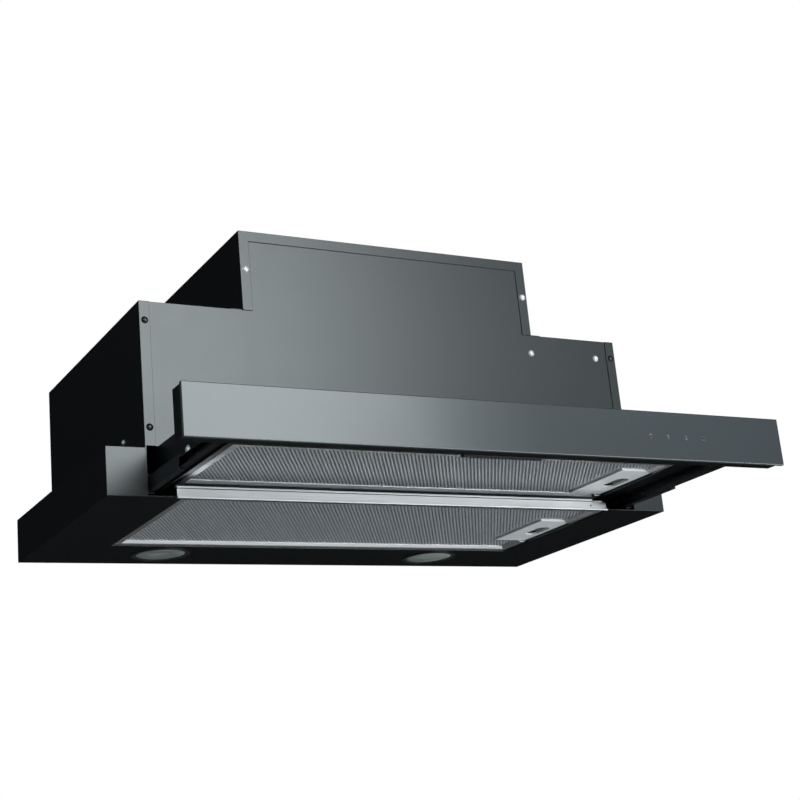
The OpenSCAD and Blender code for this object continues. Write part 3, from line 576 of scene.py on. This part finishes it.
def perforated_sheet(name, latch, body):
    """Sheet of slanting slots between bright strands, cut back round the latch."""
    (x0, y0, z0), (x1, y1, _) = box(name)
    (latch_x, latch_y0, _), (_, latch_y1, _) = box(latch)
    latch_y = (latch_y0, latch_y1)
    low, high = [z0 + z for z in SHEET_Z]
    cell, slot = slot_rings()
    verts, faces = [], []
    for x, y in slot_middles((x0, x1), (y0, y1), latch_x, latch_y):
        for start in (len(verts), len(verts) + len(cell)):
            faces += ring_faces(start, len(cell))
        for ring, z in ((cell, low), (slot, low), (slot, high)):
            verts += [(x + point.x, y + point.y, z) for point in ring]
    for margin in latch_margins(x1, latch_x, latch_y):
        faces += block_faces(len(verts))
        verts += [(x, y, z) for z in ((low + high) / 2, high) for x, y in margin]
    piece(name, verts, faces, "mesh", body, name)


def trim_lip():
    """Lip rolled over the strip's lower edge, which runs on under the end cap."""
    x0, front, underside = box("trim_strip")[0]
    x1 = box("trim_end_cap")[1][0]
    edge, low = front - LIP_OVER, underside - LIP_COVER
    outline = [
        (LIP_BACK, low), (edge, low), (front - LIP_BULGE, LIP_BULGE_Z),
        (edge, LIP_TOP), (LIP_BACK, LIP_TOP),
    ]
    verts, faces = extruded(outline, (x0, x1))
    face_outwards(piece("trim_lip", verts, faces, "bright_strip", "housing"))


def trim_groove_painted_shadow():
    """Black strip in the strip's groove, a painted shadow where the groove's gap is dark."""
    (x0, _, _), (x1, _, _) = box("trim_strip")
    (front, back), (low, high) = GROOVE_SHADOW_Y, GROOVE_Z
    verts, faces = extruded([(front, low), (back, low), (back, high), (front, high)], (x0, x1))
    # the groove's shadow is painted as a strip in the black rubber look
    face_outwards(piece("trim_groove_painted_shadow", verts, faces, "black_rubber", "housing"))


def cap_front():
    """Points of the end cap's domed front, column after column from the strip to its outer end."""
    (x0, y0, _), (x1, _, _) = box("trim_end_cap")
    crown = box("trim_strip")[0][1]
    points = []
    for i in range(CAP_COLUMNS + 1):
        share = math.sin(math.pi / 2 * i / CAP_COLUMNS)
        x = x0 + (x1 - x0) * share
        in_corner = max(0.0, x - (x1 - CAP_CORNER)) / CAP_CORNER
        top = GROOVE_Z[0] - CAP_CORNER * (1 - quarter_round(in_corner))
        swell = math.sin(math.pi / 2 * min(1.0, share / CAP_CROWN_SHARE))
        past_crown = max(0.0, share - CAP_CROWN_SHARE) / (1 - CAP_CROWN_SHARE)
        y = (y0 + (crown - y0) * swell) * quarter_round(past_crown)
        for j in range(CAP_ROWS + 1):
            rise = math.sin(math.pi / 2 * j / CAP_ROWS)
            points.append((x, y * quarter_round(rise ** 2), LIP_TOP + (top - LIP_TOP) * rise))
    return points


def trim_cap():
    """Domed end cap, no prouder than the strip's lip, whose upper outer corner is rounded."""
    front = cap_front()
    back = len(front)
    column = CAP_ROWS + 1
    verts = front + [(x, 0.0, z) for x, _, z in front]
    faces = grid_faces(0, CAP_COLUMNS, CAP_ROWS) + grid_faces(back, CAP_COLUMNS, CAP_ROWS)
    lower = [(a, a + column) for a in range(0, CAP_COLUMNS * column, column)]
    inner = [(a, a + 1) for a in range(CAP_ROWS)]
    faces += [(a, b, b + back, a + back) for a, b in lower + inner]
    slot = "bright_strip"
    made = piece("trim_dome", verts, faces, slot, "housing", "trim_end_cap", smooth=True)
    face_outwards(made, weld=CAP_WELD)
    made.data.set_sharp_from_angle(angle=math.radians(CAP_SHARP))


def glass_front():
    """Glass panel with ground edges."""
    (x0, y0, z0), (x1, y1, z1) = box("glass_panel")
    outline = [(x0, z0), (x1, z0), (x1, z1), (x0, z1)]
    verts = [(x, y, z) for y in (y0 + GLASS_INSET, y1) for x, z in outline]
    slot = "dark_glass"
    made = piece("glass_front", verts, block_faces(0), slot, "drawer", "glass_panel")
    face_outwards(made, bevel=GLASS_BEVEL)


def symbol_strokes():
    """Strokes of the power sign and of the numbers 1, 2 and 3, each as points about the middle."""
    turns = [POWER_GAP / 2 + (360 - POWER_GAP) * i / (POWER_POINTS - 1) for i in range(POWER_POINTS)]
    radians = [math.radians(turn) for turn in turns]
    circle = [(POWER_R * math.sin(turn), POWER_R * math.cos(turn)) for turn in radians]
    power = [circle, [(0, 0.2), (0, 1.15)]]
    one = [[(-0.45, 0.6), (0, 1.0), (0, -1.0)]]
    two = [
        [(-0.55, 0.6), (-0.25, 0.95), (0.25, 0.95), (0.55, 0.6), (0.5, 0.2), (-0.55, -0.95), (0.6, -0.95)],
    ]
    three = [
        [(-0.55, 0.8), (-0.2, 0.98), (0.25, 0.95), (0.52, 0.55), (0.3, 0.12), (-0.1, 0.05)],
        [(-0.1, 0.05), (0.35, -0.02), (0.58, -0.5), (0.28, -0.92), (-0.2, -0.98), (-0.58, -0.75)],
    ]
    return [power, one, two, three]


def stroke_quads(points, x, z):
    """Corners in X and Z of flat bands along the points of a stroke, about a symbol's place."""
    quads = []
    for (ax, az), (bx, bz) in zip(points, points[1:]):
        half = STROKE_W / 2 / math.hypot(bx - ax, bz - az)
        ux, uz = (bx - ax) * half, (bz - az) * half
        corners = [
            (ax - ux - uz, az - uz + ux), (bx + ux - uz, bz + uz + ux),
            (bx + ux + uz, bz + uz - ux), (ax - ux + uz, az - uz - ux),
        ]
        quads.append([(x + SYMBOL_SCALE * dx, z + SYMBOL_SCALE * dz) for dx, dz in corners])
    return quads


def touch_symbols():
    """Power sign and the numbers of the three speeds, printed on the glass before the touch board."""
    (x0, _, z0), (x1, _, z1) = box("touch_board")
    glass_y = box("glass_panel")[0][1]
    symbols = symbol_strokes()
    step = (x1 - x0 - 2 * TOUCH_MARGIN) / (len(symbols) - 1)
    verts, faces = [], []
    for i, strokes in enumerate(symbols):
        for points in strokes:
            for quad in stroke_quads(points, x0 + TOUCH_MARGIN + i * step, (z0 + z1) / 2):
                faces += block_faces(len(verts))
                verts += [(x, glass_y + y, z) for y in PRINT_Y for x, z in quad]
    piece("touch_symbols", verts, faces, "print", "drawer")


def lens_profile(radius, face_z, back_z):
    """Radius and height of a lens's rings, from its back over the bevelled rim to its middle."""
    profile = [(radius, back_z), (radius, 0.0)]
    for i in range(1, LENS_RINGS):
        inwards = i / LENS_RINGS
        depth = face_z * min(1.0, inwards / (1 - LENS_FACE_SHARE))
        profile.append((radius * (1 - inwards), RING_H * (i % 2) + depth))
    return profile


def lamp_lenses():
    """Lenses with fine rings moulded on a bevelled face."""
    (x0, y0, z0), (x1, y1, z1) = box("lamp_lenses")
    node_r, middle_y = (y1 - y0) / 2, (y0 + y1) / 2
    profile = lens_profile(node_r - LENS_PLAY, z0, z1)
    turns = [2 * math.pi * k / LENS_CORNERS for k in range(LENS_CORNERS)]
    verts, faces = [], []
    for middle_x in (x0 + node_r, x1 - node_r):
        first = len(verts)
        for r, z in profile:
            verts += [(middle_x + r * math.cos(turn), middle_y + r * math.sin(turn), z) for turn in turns]
        last = len(verts) - LENS_CORNERS
        for start in range(first, last, LENS_CORNERS):
            faces += ring_faces(start, LENS_CORNERS)
        faces.append(tuple(range(last, last + LENS_CORNERS)))
        faces.append(tuple(reversed(range(first, first + LENS_CORNERS))))
    piece("lens_rings", verts, faces, "frosted", "housing", "lamp_lenses", smooth=True)


# Stage


def softbox(name, at, aim, size, radiance, colour):
    """Rectangular light of a given radiance."""
    light = bpy.data.lights.new(name, "AREA")
    light.shape = "RECTANGLE"
    light.size, light.size_y = size
    light.energy = radiance * math.pi * size[0] * size[1]
    light.color = colour
    made = bpy.data.objects.new(name, light)
    made.location = at
    made.rotation_euler = (Vector(aim) - Vector(at)).to_track_quat("-Z", "Y").to_euler()
    made.visible_camera = False
    bpy.context.scene.collection.objects.link(made)


def seen_rays(tree):
    """Two outputs: 1 for the camera's rays, and 1 for these and the rays of gloss and glass."""
    rays = tree.nodes.new("ShaderNodeLightPath").outputs
    camera_rays = rays["Is Camera Ray"]
    seen = camera_rays
    for kind in ("Is Glossy Ray", "Is Transmission Ray"):
        seen = calculate(tree, "MAXIMUM", seen, rays[kind])
    return camera_rays, seen


def backdrop_share(tree):
    """1 in the part of the surroundings that lies behind the hood in the photograph, fading to 0."""
    coords = tree.nodes.new("ShaderNodeTexCoord")
    dot = tree.nodes.new("ShaderNodeVectorMath")
    dot.operation = "DOT_PRODUCT"
    dot.inputs[1].default_value = Vector(BACKDROP).normalized()
    tree.links.new(coords.outputs["Generated"], dot.inputs[0])
    start, end = [math.cos(math.radians(turn)) for turn in BACKDROP_FADE]
    return rising(tree, dot.outputs["Value"], start, end)


def world():
    """Dim room that looks white to the camera and, where the backdrop lies, in gloss and glass."""
    made = bpy.data.worlds.new("studio")
    bpy.context.scene.world = made
    made.use_nodes = True
    tree = made.node_tree
    tree.nodes.clear()
    camera_rays, seen = seen_rays(tree)
    mirrored = calculate(tree, "MULTIPLY", seen, backdrop_share(tree))
    mix = tree.nodes.new("ShaderNodeMixShader")
    tree.links.new(calculate(tree, "MAXIMUM", camera_rays, mirrored), mix.inputs["Fac"])
    for place, colour, strength in ((1, ROOM, ROOM_LEVEL), (2, WHITE, 1.0)):
        ground = tree.nodes.new("ShaderNodeBackground")
        ground.inputs["Color"].default_value = colour + (1.0,)
        ground.inputs["Strength"].default_value = strength
        tree.links.new(ground.outputs["Background"], mix.inputs[place])
    output = tree.nodes.new("ShaderNodeOutputWorld")
    tree.links.new(mix.outputs["Shader"], output.inputs["Surface"])


def pale_floor():
    """Pale grey that glows white towards the rim, to the camera and in gloss and glass."""
    s = Shader("pale_floor")
    s.set(Base_Color=s.ramp(s.noise(3.0), 0.8, 0.84), Roughness=0.9)
    distance = s.nodes.new("ShaderNodeVectorMath")
    distance.operation = "LENGTH"
    s.links.new(s.coords, distance.inputs[0])
    start, end = [math.sqrt(share * FLOOR_R ** 2 + FLOOR_Z ** 2) for share in FLOOR_FADE]
    rim_share = rising(s.tree, distance.outputs["Value"], start, end)
    glow = s.nodes.new("ShaderNodeEmission")
    mix = s.nodes.new("ShaderNodeMixShader")
    s.links.new(calculate(s.tree, "MULTIPLY", rim_share, seen_rays(s.tree)[1]), mix.inputs["Fac"])
    s.links.new(s.bsdf.outputs["BSDF"], mix.inputs[1])
    s.links.new(glow.outputs["Emission"], mix.inputs[2])
    s.links.new(mix.outputs["Shader"], s.nodes["Material Output"].inputs["Surface"])
    return s.material


def floor():
    """Pale round floor, far below the hood, that turns into the white background at its rim."""
    mesh = bpy.data.meshes.new("floor")
    turns = [2 * math.pi * k / FLOOR_CORNERS for k in range(FLOOR_CORNERS)]
    rim = [(FLOOR_R * math.cos(turn), FLOOR_R * math.sin(turn), FLOOR_Z) for turn in turns]
    mesh.from_pydata(rim, [], [tuple(range(FLOOR_CORNERS))])
    mesh.materials.append(pale_floor())
    made = bpy.data.objects.new("floor", mesh)
    bpy.context.scene.collection.objects.link(made)


def studio():
    """Softboxes in front left, in front right, below, left and behind, the world and the floor."""
    for name, values in SOFTBOXES.items():
        softbox(name, *values)
    world()
    floor()
    bpy.context.scene.view_settings.view_transform = "Standard"


def camera():
    """Camera of the photograph."""
    data = bpy.data.cameras.new("camera")
    data.sensor_width = SENSOR
    data.lens = CAMERA_FOCAL / FRAME_PX * SENSOR
    data.shift_x, data.shift_y = CAMERA_SHIFT
    made = bpy.data.objects.new("camera", data)
    made.location = [value / 1000 for value in CAMERA_AT]
    made.rotation_euler = Euler([math.radians(turn) for turn in CAMERA_TURN], "XYZ")
    bpy.context.scene.collection.objects.link(made)
    bpy.context.scene.camera = made


camera()
dress_nodes()
perforated_sheet("base_filter_mesh", "base_latch_plate", "base_filter")
perforated_sheet("drawer_filter_mesh", "drawer_latch_plate", "drawer")
trim_lip()
trim_groove_painted_shadow()
trim_cap()
glass_front()
touch_symbols()
lamp_lenses()
studio()
